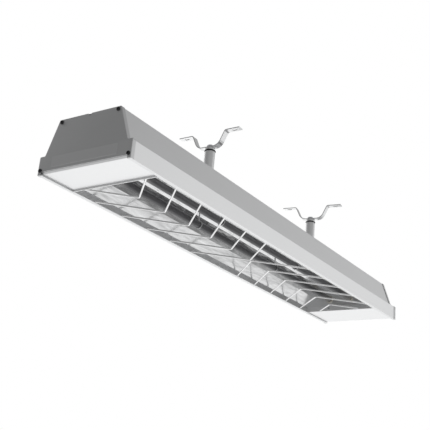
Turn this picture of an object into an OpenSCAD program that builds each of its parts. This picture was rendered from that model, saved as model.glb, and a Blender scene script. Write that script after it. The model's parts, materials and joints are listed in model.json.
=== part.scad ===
// Hanging strip infrared heater: an extruded housing with two pressed end caps, a shallow mirror
// reflector behind a herringbone wire guard, two sheathed elements, and two posts that slide in a
// slot along the top and carry swivelling ceiling straps.
// X runs along the heater, Y across it and Z up. The origin is on the ceiling, above the middle.

/* [Housing] */
// Length of the extruded housing
body_l = 1126; // [1060:1:1400]
// Width across the bottom flanges
body_w = 205; // [202:1:230]
// Height of the housing
body_h = 99; // [94:1:120]
// Width of the flat top
top_w = 136; // [120:1:150]
// Width of the ledge on top of each flange, outside the sloped side
ledge_w = 11.5; // [8.5:0.1:14.5]
// Height of the bottom flanges
flange_h = 34; // [30:1:40]
// Wall of the extrusion
wall = 2; // [1.6:0.1:2.6]
// Width of the lip along each bottom edge
lip_w = 7.2; // [6.6:0.1:8]
// Thickness of the lip, which sets how deep the fascias lie
lip_t = 2.8; // [2:0.1:3.2]
// Outer radius of the flange corners
corner_r = 1.5; // [0.5:0.1:2]

/* [Top slot] */
// Width of the slot along the top
slot_w = 9; // [8.6:0.1:11]
// Inner width of the channel under the slot
chan_w = 16.4; // [15:0.1:20]
// Inner height of the channel under the slot
chan_h = 6.6; // [6:0.1:9]

/* [End caps] */
// Sheet of the end caps
cap_t = 1.5; // [1:0.1:2.5]
// How far the rim of a cap reaches over the housing
cap_rim_l = 7; // [4:0.5:12]
// Wall of that rim
cap_rim_t = 0.8; // [0.6:0.1:1.2]
// Play between the rim and the housing
cap_play = 0.2; // [0.1:0.05:0.4]
// Height of the cap's bottom edge between its two legs
cap_cut_h = 5.7; // [4.6:0.1:7]
// Depth of the notch at the top of a cap, over the end of the slot
notch_h = 4.5; // [2:0.5:6]
// Thickness of the cap gaskets
gasket_t = 1; // [0.5:0.1:2]
// Width of a gasket around the edge
gasket_w = 3; // [2.5:0.5:5]
// Length of the rating plate
label_w = 146; // [80:1:160]
// Height of the rating plate
label_h = 20; // [12:1:22]
// Thickness of the rating plate
label_t = 0.5; // [0.3:0.1:1]
// Height of the rating plate above the cap's bottom edge
label_rise = 5.5; // [3:0.5:8]

/* [Screws] */
// Diameter of a screw head
head_d = 7.4; // [6:0.1:7.6]
// Height of a screw head
head_h = 2.6; // [2:0.1:3.5]
// Diameter of a screw's thread
thread_d = 3.2; // [2.5:0.1:3.4]
// Length of a screw under its head
screw_l = 14; // [8:1:20]
// Distance of the top screws from the housing's top corners
top_screw_in = 4.4; // [4.2:0.1:6]

/* [Fascias] */
// Sheet of the bottom fascias
fascia_t = 1.5; // [1:0.1:1.8]
// Height of a fascia's turned-up inner edge above the lips
fascia_edge_h = 7; // [6:0.5:8.5]

/* [Guard] */
// Distance from the housing's near end to the opening's frame
near_end_l = 80; // [60:1:140]
// Distance from the housing's far end to the opening's frame
far_end_l = 126; // [100:1:160]
// Thickness of the frame's flat bar
bar_t = 2; // [1.5:0.1:3]
// Height of the frame's flat bar
bar_h = 12.3; // [12:0.1:13]
// Diameter of the guard wires
wire_d = 3.5; // [2:0.1:4]
// How far the wires lie inside the frame's bottom edge
wire_in = 0.3; // [0.1:0.1:1]
// Distance from one herringbone wire to the next
wire_pitch = 78.6; // [72:0.1:82]
// Shift of the herringbone's middle from the frame's middle
wire_shift = 8; // [0:0.5:10]

/* [Reflector] */
// Sheet of the reflector
refl_t = 0.8; // [0.5:0.1:1]
// Height of the reflector's flat roof
roof_z = 60; // [54:0.5:64]
// Half width of the flat roof
roof_half = 45.5; // [42:1:60]
// Half width where the reflector's side is folded
fold_half = 64; // [62:0.5:74]
// Height of that fold
fold_z = 33; // [26:0.5:38]
// Sheet of the two bulkheads
bulk_t = 1.5; // [1:0.1:2.5]

/* [Elements] */
// Diameter of the element sheath
elem_d = 14.5; // [10:0.5:16]
// Distance of each element from the heater's middle plane
elem_y = 27.7; // [25:0.5:36]
// Height of the elements
elem_z = 30.7; // [26:0.5:36]
// Length of an element past the bulkheads
elem_over = 14; // [12:1:20]
// Outer diameter of the ceramic bushes
bush_d = 19.5; // [18:0.5:21]
// Distance between the two hangers of an element
hanger_pitch = 320; // [200:1:500]

/* [Hangers] */
// Place of the near post along the heater
near_x = -206; // [-400:1:-100]
// Place of the far post along the heater
far_x = 253; // [100:1:400]
// Height from the housing's top to the ceiling
drop = 123; // [110:1:200]
// Diameter of the posts
post_d = 22; // [18:0.5:24]
// Diameter of the bolts
bolt_d = 8; // [6:0.5:8]
// Width of the ceiling straps
strap_w = 14; // [12:1:40]
// Sheet of the ceiling straps
strap_t = 2; // [1.5:0.5:4]
// Rise of a strap from its seat to its tabs
strap_rise = 32; // [24:1:40]
// Distance of a strap's hole from its middle
strap_off = 3; // [0:0.5:3]
// Half length of the strap's seat, up to the bends
seat_half = 26; // [24:1:32]
// Distance from the strap's middle to the bend under each tab
tab_bend_y = 41; // [40:1:60]
// Length of each tab
tab_l = 34; // [24:1:40]
// Length of the slot in each tab
tab_slot_l = 12; // [8:0.5:14]
// Width of the slot in each tab
tab_slot_w = 6.5; // [4:0.1:8]
// Angle of the near strap about its bolt
near_angle = 0; // [-20:1:20]
// Angle of the far strap, which hangs the other way round
far_angle = 189; // [160:1:200]

/* [Supply] */
// Diameter of the cable that the gland takes
cable_d = 9; // [6:0.5:11]
// Outer diameter of the gland's thread
gland_d = 20; // [18:0.5:24]
// Diameter of an inner lead with its cover
lead_d = 3.2; // [2:0.1:3.6]

/* [Hidden] */
$fn = 48;

// Gap where two separate pieces meet
gap = 0.1;
// Play of what slides or turns
play = 0.3;
// Extra length of a cutting tool past what it cuts
over = 1;
half_turn = 180;
quarter = 90;
eighth = 45;
hexagon = 6;

base_z = -drop - body_h;
body_end = body_l / 2;
foot_w = body_w - 2 * ledge_w;
cap_x = body_end + gasket_t + cap_t;
cap_over = cap_rim_t + cap_play;
inner_y = body_w / 2 - wall;
lip_y = body_w / 2 - lip_w;

// Blocks along the bottom edges, which trap the fascias and take the bottom screws
boss_low = lip_t + fascia_t + gap;
boss_top = bar_h;
boss_y = lip_y + play;
boss_z = (boss_low + boss_top) / 2;
low_screw_y = (boss_y + inner_y) / 2;
top_screw_y = top_w / 2 - top_screw_in;
top_screw_z = body_h - top_screw_in;
pilot_r = thread_d / 2 + gap;
port_wall = 2.2;
port_r = pilot_r + port_wall;
chan_z = body_h - wall - chan_h;
label_z = cap_cut_h + label_rise;

// Fascias
fascia_y = inner_y - play;
fascia_rise = cap_cut_h - lip_t;

// Guard
frame_near = near_end_l - body_end;
frame_far = body_end - far_end_l;
frame_x = (frame_near + frame_far) / 2;
rail_y = lip_y - gap;
rail_in = rail_y - bar_t;
wire_r = wire_d / 2;
wire_z = wire_r + wire_in;
wire_mid = frame_x + wire_shift;
wire_tip = wire_r * sqrt(2) + gap;
guard_head_r = 3;
guard_head_h = 1.8;
guard_screw_r = 1.5;
guard_screw_l = 8;
guard_screw_y = 30;
guard_screw_z = lip_t + fascia_edge_h / 2 + gap;

// Reflector and bulkheads
refl_near = frame_near + bulk_t + gap;
refl_far = frame_far - bulk_t - gap;
rim_z = boss_top + gap;
rim_end = low_screw_y;
tab_reach = 14;
tab_width = 24;
rivet_r = 1.6;
rivet_head_r = 3.2;
rivet_head_h = 1.1;

// Elements
elem_near = frame_near - elem_over;
elem_far = frame_far + elem_over;
bush_l = 9;
bush_flange_t = 2;
bush_flange = 2;
hanger_t = 1.2;
hanger_wall = 1.5;
hanger_foot_l = 14;
stud_r = 2;
stud_l = 16;
small_nut_h = 3.2;
small_nut_flats = 7;
lug_wall = 1.2;
lug_t = 1;
barrel_r = 2.1;
barrel_l = 6;

// Terminal block
shelf_t = 1.5;
shelf_w = 46;
shelf_l = 34;
shelf_z = body_h / 2;
block_in = 5;
block_w = 42;
block_l = 22;
block_h = 16;
pole_pitch = 13;
pole_r = 2.2;
pole_depth = 8;
block_screw_r = 2.4;
block_screw_h = 2;
earth_drop = 10.4;
earth_rise = 6.5;
earth_head_r = 3.5;

// Hangers
slot_nut_l = 30;
slot_nut_h = chan_h - 2 * play;
slot_nut_w = chan_w - 2 * play;
slot_nut_z = chan_z + play;
rubber_t = 3;
rubber_over = 1;
collar_h = 5.5;
collar_step = 0.5;
nut_h = 4;
nut_flats = 13;
bolt_over = 0.5;
seat_bend_r = 20;
tab_bend_r = 4;
post_wall = 2;
seat_z = body_h + drop - strap_rise - strap_t;
collar_z = seat_z - gap - collar_h;
rubber_z = collar_z - gap - rubber_t;
post_low = body_h + play;
post_top = rubber_z - gap;
bolt_low = slot_nut_z + gap;
bolt_top = seat_z + strap_t + gap + nut_h + bolt_over;

// Cable gland
gland_rise = 4;
gland_z = body_h / 2 + gland_rise;
gland_flange_over = 3;
gland_flange_w = gland_d + 2 * gland_flange_over;
gland_flange_t = 5;
gland_wall = 2.5;
gland_collar_l = 9;
gland_in = 12;
gland_nut_t = 5;
gland_cap_l = 14;
gland_cap_hex_l = 9;
gland_cap_wall = 2;
gland_cap_room = 1;

silver = [0.80, 0.81, 0.82];
bright = [0.92, 0.93, 0.94];
steel = [0.58, 0.59, 0.60];
dark = [0.25, 0.25, 0.26];
black = [0.08, 0.08, 0.08];
ceramic = [0.90, 0.87, 0.80];
brass = [0.78, 0.62, 0.32];
green = [0.25, 0.50, 0.20];

// Takes what is drawn above the heater's bottom edge into the frame on the ceiling
module hung() {
    translate([0, 0, base_z]) children();
}

// Extrudes an outline drawn in Y and Z along X, from x0 to x1
module along_x(x0, x1) {
    translate([x0, 0, 0]) rotate([quarter, 0, quarter]) linear_extrude(x1 - x0) children();
}

// Extrudes an outline drawn in X and Z along Y, evenly to both sides
module across_y(w) {
    rotate([quarter, 0, 0]) linear_extrude(w, center = true) children();
}

module rod_x(x0, x1, y, z, r) {
    translate([x0, y, z]) rotate([0, quarter, 0]) cylinder(h = x1 - x0, r = r);
}

module rod_z(x, y, z0, z1, r) {
    translate([x, y, z0]) cylinder(h = z1 - z0, r = r);
}

module box(x, y, z) {
    translate([x[0], y[0], z[0]]) cube([x[1] - x[0], y[1] - y[0], z[1] - z[0]]);
}

// Draws what lies at the frame's far end, and mirrors it to the frame's near end
module both_ends() {
    children();
    near_side() children();
}

module near_side() {
    translate([2 * frame_x, 0, 0]) mirror([1, 0, 0]) children();
}

// A hexagonal prism along the given height
module hex_nut(h, flats) {
    cylinder(h = h, r = flats / 2 / cos(half_turn / hexagon), $fn = hexagon);
}

// A domed screw along X, with its head's seat at the origin and its head towards +X
module dome_screw(head_r, dome_h, shank_r, shank_l) {
    straight_share = 0.35;
    step = 15;
    rotate([0, quarter, 0]) rotate_extrude() polygon([
        [0, -shank_l], [shank_r, -shank_l], [shank_r, 0], [head_r, 0],
        for (a = [0 : step : quarter])
            [head_r * cos(a), dome_h * (straight_share + (1 - straight_share) * sin(a))]
    ]);
}

function unit(v) = v / norm(v);
function left_of(v) = [-v[1], v[0]];
function backwards(points) = [for (i = [len(points) - 1 : -1 : 0]) points[i]];

// Adds the mirror image of half an outline
function both(points) = concat([for (p = backwards(points)) [-p[0], p[1]]], points);

function arc(c, r, a0, a1, n = 5) =
    [for (i = [0 : n]) let (a = a0 + (a1 - a0) * i / n) c + r * [cos(a), sin(a)]];

// Offset of point i of a line that gives a sheet of thickness 1 on the line's left side
function miter(p, i) =
    let (
        before = max(i, 1),
        after = min(i + 1, len(p) - 1),
        a = left_of(unit(p[before] - p[before - 1])),
        b = left_of(unit(p[after] - p[after - 1]))
    )
    (a + b) / (1 + a * b);

function sheet(p, t) =
    concat(p, backwards([for (i = [0 : len(p) - 1]) p[i] + t * miter(p, i)]));

// A line of points with its inner corners rounded, each to its own radius
function rounded(p, radii, n = 5) = [
    p[0],
    for (i = [1 : len(p) - 2])
        let (
            a = unit(p[i - 1] - p[i]),
            b = unit(p[i + 1] - p[i]),
            r = radii[i - 1],
            half = acos(a * b) / 2,
            c = p[i] + unit(a + b) * r / sin(half),
            from = unit(p[i] + a * r / tan(half) - c),
            to = unit(p[i] + b * r / tan(half) - c)
        )
        for (k = [0 : n]) c + r * unit(from * (n - k) + to * k),
    p[len(p) - 1]
];

// Housing

// Outer outline of the housing's half at +Y, from the top down to the given bottom
function outer_half(grow, bottom) = [
    [top_w / 2 + grow, body_h + grow],
    [foot_w / 2 + grow, flange_h + grow],
    each arc([body_w / 2 - corner_r + grow, flange_h - corner_r + grow], corner_r, quarter, 0),
    [body_w / 2 + grow, bottom]
];

function inner_half(shrink, bottom) = [
    [top_w / 2 - wall - shrink, body_h - wall - shrink],
    [foot_w / 2 - wall - shrink, flange_h - wall - shrink],
    [inner_y - shrink, flange_h - wall - shrink],
    [inner_y - shrink, bottom]
];

// The blocks, ports and channel inside the extrusion
module housing_ribs(x0, x1) {
    for (s = [-1, 1]) {
        rod_x(x0, x1, s * top_screw_y, top_screw_z, port_r);
        translate([0, s * (boss_y + inner_y + over) / 2, 0])
            box([x0, x1], [(boss_y - inner_y - over) / 2, (inner_y + over - boss_y) / 2],
                [boss_low, boss_top]);
    }
    box([x0, x1], [-chan_w / 2 - wall, chan_w / 2 + wall], [chan_z - wall, body_h - wall / 2]);
}

module housing() {
    x0 = -body_end;
    x1 = body_end;
    color(silver) hung() difference() {
        union() {
            difference() {
                along_x(x0, x1) polygon(both(outer_half(0, 0)));
                along_x(x0 - over, x1 + over) polygon(both(inner_half(0, lip_t)));
                box([x0 - over, x1 + over], [-lip_y, lip_y], [-over, lip_t + over]);
            }
            housing_ribs(x0, x1);
        }
        for (s = [-1, 1]) {
            rod_x(x0 - over, x1 + over, s * top_screw_y, top_screw_z, pilot_r);
            rod_x(x0 - over, x1 + over, s * low_screw_y, boss_z, pilot_r);
        }
        box([x0 - over, x1 + over], [-chan_w / 2, chan_w / 2], [chan_z, chan_z + chan_h]);
        box([x0 - over, x1 + over], [-slot_w / 2, slot_w / 2], [chan_z, body_h + over]);
    }
}

// End caps

module cap_notch() {
    top = body_h + cap_over;
    polygon([[-slot_w / 2, top + over], [-slot_w / 2, top], [0, top - notch_h],
        [slot_w / 2, top], [slot_w / 2, top + over]]);
}

module cap_screw_holes() {
    for (s = [-1, 1]) {
        translate([s * top_screw_y, top_screw_z]) circle(r = pilot_r + gap);
        translate([s * low_screw_y, boss_z]) circle(r = pilot_r + gap);
    }
}

// The far cap: a face with two legs, and a rim over the housing's end
module cap_shell() {
    along_x(cap_x - cap_t, cap_x) difference() {
        polygon(both(outer_half(cap_over, 0)));
        translate([-lip_y, -over]) square([2 * lip_y, cap_cut_h + over]);
        cap_notch();
        cap_screw_holes();
    }
    along_x(body_end - cap_rim_l, cap_x - cap_t) difference() {
        polygon(both(outer_half(cap_over, 0)));
        polygon(both(outer_half(cap_play, -over)));
        cap_notch();
    }
}

module near_end_cap() {
    color(silver) hung() mirror([1, 0, 0]) cap_shell();
}

module far_end_cap() {
    color(silver) hung() difference() {
        cap_shell();
        rod_x(cap_x - cap_t - over, cap_x + over, 0, gland_z, gland_d / 2 + gap);
    }
}

module cap_gasket() {
    along_x(body_end, body_end + gasket_t) difference() {
        polygon(both(outer_half(0, cap_cut_h)));
        polygon(both(outer_half(-gasket_w, -over)));
        cap_screw_holes();
    }
}

module near_cap_gasket() {
    color(black) hung() mirror([1, 0, 0]) cap_gasket();
}

module far_cap_gasket() {
    color(black) hung() cap_gasket();
}

module label_plate() {
    color(bright) hung()
        box([-cap_x - label_t, -cap_x], [-label_w / 2, label_w / 2], [label_z, label_z + label_h]);
}

module cap_screws() {
    places = [for (s = [-1, 1]) each [[s * top_screw_y, top_screw_z], [s * low_screw_y, boss_z]]];
    color(steel) hung() for (m = [0, 1], p = places)
        mirror([m, 0, 0]) translate([cap_x, p[0], p[1]])
            dome_screw(head_d / 2, head_h, thread_d / 2, screw_l);
}

// Fascias

// A fascia from the frame's far end to the given end of the housing: a turned-up inner edge, a
// plate between the lips and their blocks, and an end bent up under the cap
module fascia(finish) {
    start = frame_far + gap;
    bend = finish - fascia_rise;
    narrow = lip_y - gap;
    difference() {
        union() {
            across_y(2 * narrow)
                polygon(sheet([[start, lip_t], [bend, lip_t], [finish, cap_cut_h]], fascia_t));
            box([start, bend - fascia_t], [-fascia_y, fascia_y], [lip_t, lip_t + fascia_t]);
            box([start, start + fascia_t], [-narrow, narrow], [lip_t, lip_t + fascia_edge_h]);
        }
        guard_screw_holes(start, fascia_t);
    }
}

module far_fascia() {
    color(silver) hung() fascia(body_end);
}

module near_fascia() {
    color(silver) hung() near_side() fascia(body_end + 2 * frame_x);
}

// Guard

module guard_screw_holes(x, t) {
    for (s = [-1, 1])
        rod_x(x - over, x + t + over, s * guard_screw_y, guard_screw_z, guard_screw_r + gap);
}

module guard_rail(s) {
    y = s > 0 ? [rail_in, rail_y] : [-rail_y, -rail_in];
    color(steel) hung() box([frame_near, frame_far], y, [0, bar_h]);
}

module left_guard_rail() {
    guard_rail(1);
}

module right_guard_rail() {
    guard_rail(-1);
}

module guard_bar() {
    x = frame_far - bar_t;
    difference() {
        box([x, x + bar_t], [-rail_in, rail_in], [0, bar_h]);
        guard_screw_holes(x, bar_t);
    }
}

module near_guard_bar() {
    color(steel) hung() near_side() guard_bar();
}

module far_guard_bar() {
    color(steel) hung() guard_bar();
}

// A herringbone wire: a V with its tip on the middle plane. Its arms run away from the middle of
// the guard to the rails, and their ends are cut square to Y.
module guard_wire(tip, way) {
    reach = rail_in * sqrt(2) + 2 * wire_d;
    union() {
        for (s = [-1, 1]) intersection() {
            translate([tip, 0, wire_z]) rotate([0, 0, s * (quarter - way * eighth)])
                rod_x(-wire_d, reach, 0, 0, wire_r);
            box([frame_near + bar_t, frame_far - bar_t],
                s > 0 ? [0, rail_in] : [-rail_in, 0], [0, bar_h]);
        }
    }
}

// The herringbone wires between the guard's middle and the bar at one end
module guard_wires(way) {
    room = way > 0 ? frame_far - wire_mid : wire_mid - frame_near;
    rows = ceil((room - bar_t - wire_tip) / wire_pitch);
    color(bright) hung() for (i = [0 : rows - 1])
        guard_wire(wire_mid + way * (wire_tip + i * wire_pitch), way);
}

module near_guard_wires() {
    guard_wires(-1);
}

module far_guard_wires() {
    guard_wires(1);
}

module guard_screws() {
    color(steel) hung() both_ends() for (s = [-1, 1])
        translate([frame_far - bar_t, s * guard_screw_y, guard_screw_z]) mirror([1, 0, 0])
            dome_screw(guard_head_r, guard_head_h, guard_screw_r, guard_screw_l);
}

// Reflector and bulkheads

refl_half = [[roof_half, roof_z], [fold_half, fold_z], [rail_in, rim_z], [rim_end, rim_z]];
rivet_places = [refl_near + tab_reach / 2, refl_far - tab_reach / 2];
hanger_places = [for (i = [-1, 1], s = [-1, 1]) [frame_x + i * hanger_pitch / 2, s * elem_y]];
roof_top = roof_z + refl_t + gap;

module reflector() {
    color(bright) hung() difference() {
        along_x(refl_near, refl_far) polygon(sheet(both(refl_half), refl_t));
        for (x = rivet_places) rod_z(x, 0, roof_z - over, roof_top + over, rivet_r + gap);
        for (p = hanger_places) translate([p[0], p[1], roof_z])
            cube([hanger_t + 2 * gap, 2 * (hanger_wall + gap), 2 * (refl_t + over)], center = true);
    }
}

// The far bulkhead: a plate with two holes for the bushes, and a tab on the reflector's roof
module bulkhead() {
    x = refl_far - tab_reach;
    difference() {
        union() {
            along_x(frame_far - bulk_t, frame_far) difference() {
                polygon(both(inner_half(play, rim_z)));
                translate([-chan_w / 2 - wall - play, chan_z - wall - play])
                    square([chan_w + 2 * wall + 2 * play, chan_h + 2 * wall + play + over]);
                for (s = [-1, 1]) {
                    translate([s * top_screw_y, top_screw_z]) circle(r = port_r + play);
                    translate([s * elem_y, elem_z]) circle(r = bush_d / 2 + gap);
                }
            }
            box([x, frame_far], [-tab_width / 2, tab_width / 2], [roof_top, roof_top + bulk_t]);
        }
        rod_z(x + tab_reach / 2, 0, roof_top - over, roof_top + bulk_t + over, rivet_r + gap);
    }
}

module far_bulkhead() {
    color(silver) hung() difference() {
        bulkhead();
        rod_x(frame_far - bulk_t - over, frame_far + over, 0, earth_z, stud_r + gap);
    }
}

module near_bulkhead() {
    color(silver) hung() near_side() bulkhead();
}

module reflector_rivets() {
    top = roof_top + bulk_t + gap;
    color(steel) hung() for (x = rivet_places) {
        rod_z(x, 0, roof_z - rivet_head_h, top + rivet_head_h, rivet_r);
        rod_z(x, 0, roof_z - rivet_head_h, roof_z, rivet_head_r);
        rod_z(x, 0, top, top + rivet_head_h, rivet_head_r);
    }
}

// Elements

module element(s) {
    color(dark) hung() rod_x(elem_near, elem_far, s * elem_y, elem_z, elem_d / 2);
}

module left_element() {
    element(1);
}

module right_element() {
    element(-1);
}

module element_bushes() {
    x = frame_far;
    color(ceramic) hung() both_ends() for (s = [-1, 1]) difference() {
        union() {
            rod_x(x - bush_l / 2, x + bush_l / 2, s * elem_y, elem_z, bush_d / 2);
            rod_x(x + gap, x + gap + bush_flange_t, s * elem_y, elem_z, bush_d / 2 + bush_flange);
        }
        rod_x(x - bush_l, x + bush_l, s * elem_y, elem_z, elem_d / 2 + gap);
    }
}

// A sheet hanger: an eye round the element, a neck through the roof and a foot on top of it
module element_hanger(x, y) {
    bore = elem_d / 2 + gap;
    low = elem_z + bore + hanger_wall / 2;
    union() {
        difference() {
            rod_x(x - hanger_t / 2, x + hanger_t / 2, y, elem_z, bore + hanger_wall);
            rod_x(x - hanger_t, x + hanger_t, y, elem_z, bore);
        }
        box([x - hanger_t / 2, x + hanger_t / 2], [y - hanger_wall, y + hanger_wall],
            [low, roof_top + hanger_t]);
        box([x - hanger_t / 2, x + hanger_foot_l], [y - hanger_wall, y + hanger_wall],
            [roof_top, roof_top + hanger_t]);
    }
}

module element_hangers() {
    color(steel) hung() for (p = hanger_places) element_hanger(p[0], p[1]);
}

module element_studs() {
    color(steel) hung() both_ends() for (s = [-1, 1])
        rod_x(elem_far, elem_far + stud_l, s * elem_y, elem_z, stud_r);
}

small_nut_r = small_nut_flats / 2 / cos(half_turn / hexagon);
lug_r = small_nut_r + lug_wall;
lug_x = elem_far + gap;
nut_x = lug_x + lug_t + gap;
earth_z = chan_z - wall - earth_drop;

// A ring lug round a stud along X, with a barrel that points up
module lug() {
    difference() {
        union() {
            rod_x(0, lug_t, 0, 0, lug_r);
            box([0, lug_t], [-barrel_r, barrel_r], [0, lug_r + barrel_l / 2]);
            rod_z(barrel_r, 0, lug_r, lug_r + barrel_l, barrel_r);
        }
        rod_x(-over, lug_t + over, 0, 0, stud_r + gap);
    }
}

module lead_lugs() {
    color(brass) hung() {
        both_ends() for (s = [-1, 1]) translate([lug_x, s * elem_y, elem_z]) lug();
        translate([frame_far + gap, 0, earth_z]) rotate([quarter, 0, 0]) lug();
    }
}

module stud_nuts() {
    color(steel) hung() both_ends() for (s = [-1, 1]) difference() {
        translate([nut_x, s * elem_y, elem_z]) rotate([0, quarter, 0])
            hex_nut(small_nut_h, small_nut_flats);
        rod_x(nut_x - over, nut_x + small_nut_h + over, s * elem_y, elem_z, stud_r + gap);
    }
}

// Leads

lead_r = lead_d / 2;
lead_sides = 8;
lead_steps = 4;
lead_bend = 10;
barrel_top = elem_z + lug_r + barrel_l;
barrel_x = lug_x + barrel_r;
block_x = frame_far + block_in;
block_end = block_x + block_l;
block_z = shelf_z + shelf_t;
pole_z = block_z + block_h / 2;

// Direction of a route at point i, and a side vector carried along the route without twist
function way_at(p, i) = unit(p[min(i + 1, len(p) - 1)] - p[max(i - 1, 0)]);
function carried(side, w) = unit(side - w * (side * w));
function sides_along(p) = [
    for (
        i = 0, side = carried([1, 1, 1], way_at(p, 0));
        i < len(p);
        i = i + 1, side = carried(side, way_at(p, min(i, len(p) - 1)))
    ) side
];

// A tube swept along a route
module lead(p, r) {
    n = len(p);
    side = sides_along(p);
    rings = [for (i = [0 : n - 1], k = [0 : lead_sides - 1])
        let (a = 2 * half_turn * k / lead_sides)
        p[i] + r * (cos(a) * side[i] + sin(a) * cross(way_at(p, i), side[i]))];
    walls = [for (i = [0 : n - 2], k = [0 : lead_sides - 1])
        let (a = i * lead_sides + k, b = i * lead_sides + (k + 1) % lead_sides)
        each [[a, b + lead_sides, b], [a, a + lead_sides, b + lead_sides]]];
    ends = [[for (k = [0 : lead_sides - 1]) k],
        [for (k = [lead_sides - 1 : -1 : 0]) (n - 1) * lead_sides + k]];
    polyhedron(rings, concat(walls, ends));
}

// Points of a smooth curve through the given places, with lead_steps between each two
function smooth(p) = [
    for (i = [0 : len(p) - 2], k = [0 : lead_steps - 1])
        let (
            t = k / lead_steps,
            a = p[max(i - 1, 0)],
            b = p[i],
            c = p[i + 1],
            d = p[min(i + 2, len(p) - 1)]
        )
        (2 * b + (c - a) * t + (2 * a - 5 * b + 4 * c - d) * pow(t, 2)
            + (3 * b - a - 3 * c + d) * pow(t, 3)) / 2,
    p[len(p) - 1]
];

// A lead from an element's far stud to its pole of the terminal block
module supply_lead(s) {
    rise = barrel_top + lead_bend;
    hung() lead(smooth([
        [barrel_x, s * elem_y, barrel_top + play],
        [barrel_x, s * elem_y, barrel_top + lead_bend / 2],
        [barrel_x, s * elem_y, rise],
        [block_end + 2 * lead_bend, s * (elem_y + pole_pitch) / 2, (rise + pole_z) / 2],
        [block_end + lead_bend, s * pole_pitch, pole_z],
        [block_end, s * pole_pitch, pole_z],
        [block_end - pole_depth / 2, s * pole_pitch, pole_z]
    ]), lead_r);
}

module live_lead() {
    color(dark) supply_lead(1);
}

module neutral_lead() {
    color(silver) supply_lead(-1);
}

// The lead that joins the two elements at their near ends
module link_lead() {
    x = 2 * frame_x - barrel_x;
    rise = barrel_top + lead_bend;
    color(dark) hung() lead(smooth([
        [x, elem_y, barrel_top + play],
        [x, elem_y, barrel_top + lead_bend / 2],
        [x, elem_y, rise],
        [x - lead_d, elem_y - lead_bend, rise + lead_bend],
        [x - lead_d, 0, rise + lead_bend + lead_d],
        [x - lead_d, lead_bend - elem_y, rise + lead_bend],
        [x, -elem_y, rise],
        [x, -elem_y, barrel_top + lead_bend / 2],
        [x, -elem_y, barrel_top + play]
    ]), lead_r);
}

module earth_lead() {
    x = frame_far + gap + barrel_r;
    y = -lug_r - barrel_l - play;
    color(green) hung() lead(smooth([
        [block_end - pole_depth / 2, 0, pole_z],
        [block_end, 0, pole_z],
        [block_end + lead_bend, 0, pole_z],
        [block_end + lead_bend, y - lead_bend, (pole_z + earth_z) / 2],
        [block_x + lead_bend, y - 2 * lead_bend, earth_z],
        [x + lead_r, y - lead_bend, earth_z],
        [x, y - lead_bend / 2, earth_z],
        [x, y, earth_z]
    ]), lead_r);
}

// Terminal block

module terminal_bracket() {
    x = frame_far;
    y = [-shelf_w / 2, shelf_w / 2];
    color(silver) hung() {
        box([x, x + shelf_t], y, [shelf_z, earth_z - earth_rise]);
        box([x, x + shelf_l], y, [shelf_z, shelf_z + shelf_t]);
    }
}

module terminal_block() {
    top = block_z + block_h;
    color(ceramic) hung() difference() {
        box([block_x, block_end], [-block_w / 2, block_w / 2], [block_z, top]);
        for (i = [-1 : 1]) {
            rod_x(block_end - pole_depth, block_end + over, i * pole_pitch, pole_z, pole_r);
            rod_z(block_x + block_l / 2, i * pole_pitch, top - block_screw_h, top + over,
                block_screw_r + gap);
        }
    }
}

module terminal_screws() {
    z = block_z + block_h - block_screw_h;
    color(brass) hung() for (i = [-1 : 1])
        rod_z(block_x + block_l / 2, i * pole_pitch, z, z + block_screw_h + gap, block_screw_r);
}

module earth_screw() {
    x = frame_far + lug_t + 2 * gap;
    inside = frame_far - bulk_t - gap;
    color(brass) hung() {
        rod_x(inside - small_nut_h, x + 2 * small_nut_h, 0, earth_z, stud_r);
        rod_x(inside - small_nut_h, inside, 0, earth_z, earth_head_r);
        translate([x, 0, earth_z]) rotate([0, quarter, 0]) hex_nut(small_nut_h, small_nut_flats);
    }
}

// Cable gland

gland_x = cap_x + gap;
gland_collar_x = gland_x + gland_flange_t;
gland_end = gland_collar_x + gland_collar_l;
gland_bore = gland_d / 2 - gland_wall;

module gland_hex(x0, x1) {
    translate([x0, 0, gland_z]) rotate([0, quarter, 0]) hex_nut(x1 - x0, gland_flange_w);
}

module gland_body() {
    inside = cap_x - cap_t - gland_in;
    color(black) hung() difference() {
        union() {
            rod_x(inside, gland_end, 0, gland_z, gland_d / 2);
            gland_hex(gland_x, gland_collar_x);
        }
        rod_x(inside - over, gland_end + over, 0, gland_z, gland_bore);
    }
}

module gland_nut() {
    x = cap_x - cap_t - gap;
    color(black) hung() difference() {
        gland_hex(x - gland_nut_t, x);
        rod_x(x - gland_nut_t - over, x + over, 0, gland_z, gland_d / 2 + gap);
    }
}

module gland_seal() {
    color(dark) hung() difference() {
        rod_x(gland_collar_x, gland_end, 0, gland_z, gland_bore - gap);
        rod_x(gland_collar_x - over, gland_end + over, 0, gland_z, cable_d / 2);
    }
}

module gland_cap() {
    x = gland_collar_x + gap;
    color(black) hung() difference() {
        union() {
            gland_hex(x, x + gland_cap_hex_l);
            rod_x(x, x + gland_cap_l, 0, gland_z, gland_d / 2 + gland_cap_wall);
        }
        rod_x(x - over, gland_end + gap, 0, gland_z, gland_d / 2 + gap);
        rod_x(x, x + gland_cap_l + over, 0, gland_z, cable_d / 2 + gland_cap_room);
    }
}

// Hangers: a nut in the slot, a bolt, a post, a washer, a collar, a strap and a lock nut

bolt_bore = bolt_d / 2 + gap;

module slot_nut(x) {
    color(steel) hung() difference() {
        box([x - slot_nut_l / 2, x + slot_nut_l / 2], [-slot_nut_w / 2, slot_nut_w / 2],
            [slot_nut_z, slot_nut_z + slot_nut_h]);
        rod_z(x, 0, slot_nut_z - over, slot_nut_z + slot_nut_h + over, bolt_bore);
    }
}

module bolt(x) {
    color(steel) hung() rod_z(x, 0, bolt_low, bolt_top, bolt_d / 2);
}

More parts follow.
